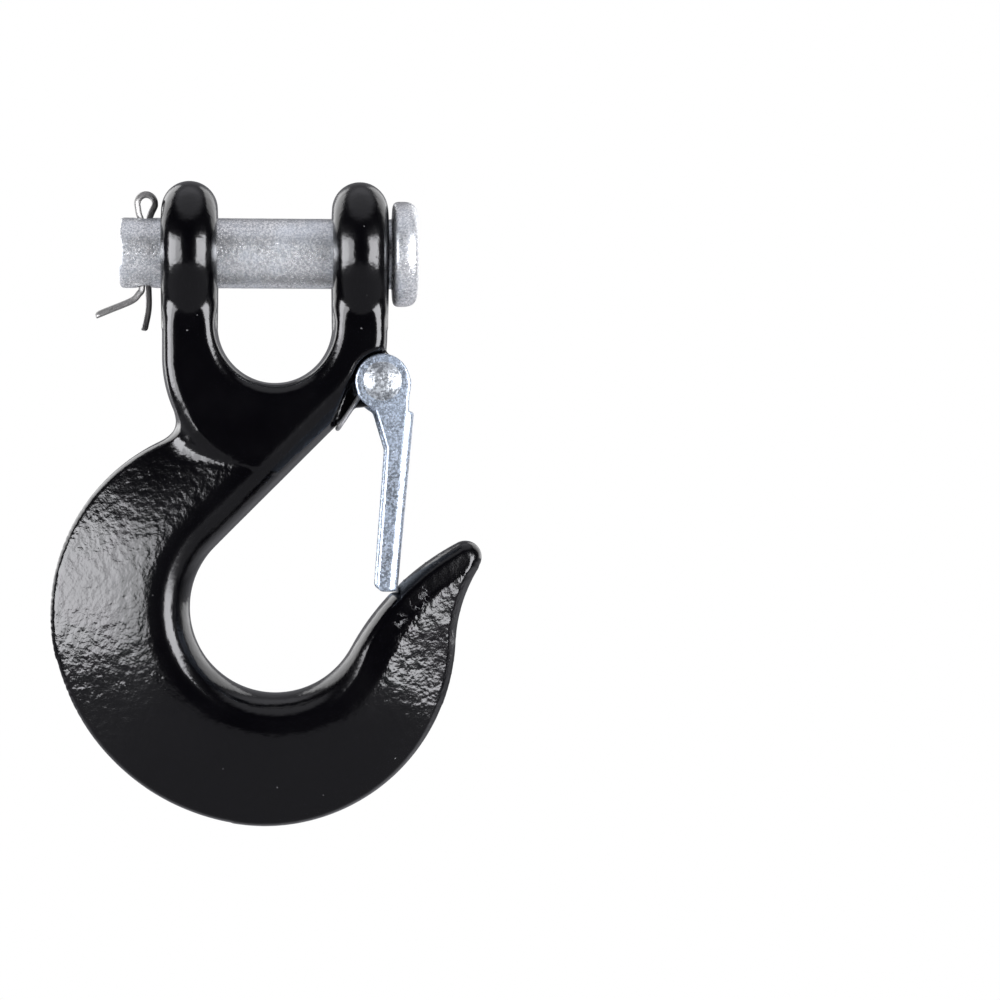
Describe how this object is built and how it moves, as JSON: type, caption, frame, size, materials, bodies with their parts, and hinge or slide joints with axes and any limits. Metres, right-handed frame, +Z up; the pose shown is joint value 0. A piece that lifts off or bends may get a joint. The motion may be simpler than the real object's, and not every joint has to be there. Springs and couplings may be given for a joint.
{
  "type": "safety chain hook",
  "caption": "Clevis slip hook for a safety chain: forged fork and bowl, headed pin held by a split pin, and a sprung latch across the throat.",
  "frame": {"origin": "the middle of the clevis pin, on its axis, half way between the two eyes", "axes": "+X along the pin towards its head, and the way the hook's throat opens; +Y away from the camera, the hook's thickness; +Z up, away from the bowl"},
  "size_m": [0.0781, 0.026, 0.117],
  "materials": {
    "black_paint": "gloss black paint over a forged skin",
    "zinc_pin": "bright zinc plate, slightly grainy",
    "bare_steel_wire": "drawn steel wire",
    "zinc_sheet": "blue-white zinc plate, spangled",
    "zinc_rivet": "bright zinc plate",
    "spring_wire": "drawn spring steel"
  },
  "bodies": {
    "hook": {"hook_body": "black_paint", "latch_spring": "spring_wire"},
    "pin": {"clevis_pin": "zinc_pin", "cotter_pin": "bare_steel_wire"},
    "latch": {"latch": "zinc_sheet", "latch_rivet": "zinc_rivet"}
  },
  "joints": [
    {"name": "pin_turn", "type": "hinge", "parent": "hook", "child": "pin", "pos_m": [0, 0, 0], "axis": [1, 0, 0], "continuous": true},
    {"name": "latch_pivot", "type": "hinge", "parent": "hook", "child": "latch", "pos_m": [0.01927, 0, -0.0234], "axis": [0, 1, 0], "range_deg": [0, 40], "stiffness_Nm_per_rad": 0.05, "springref_deg": -57.3, "deforming": ["latch_spring"]}
  ]
}
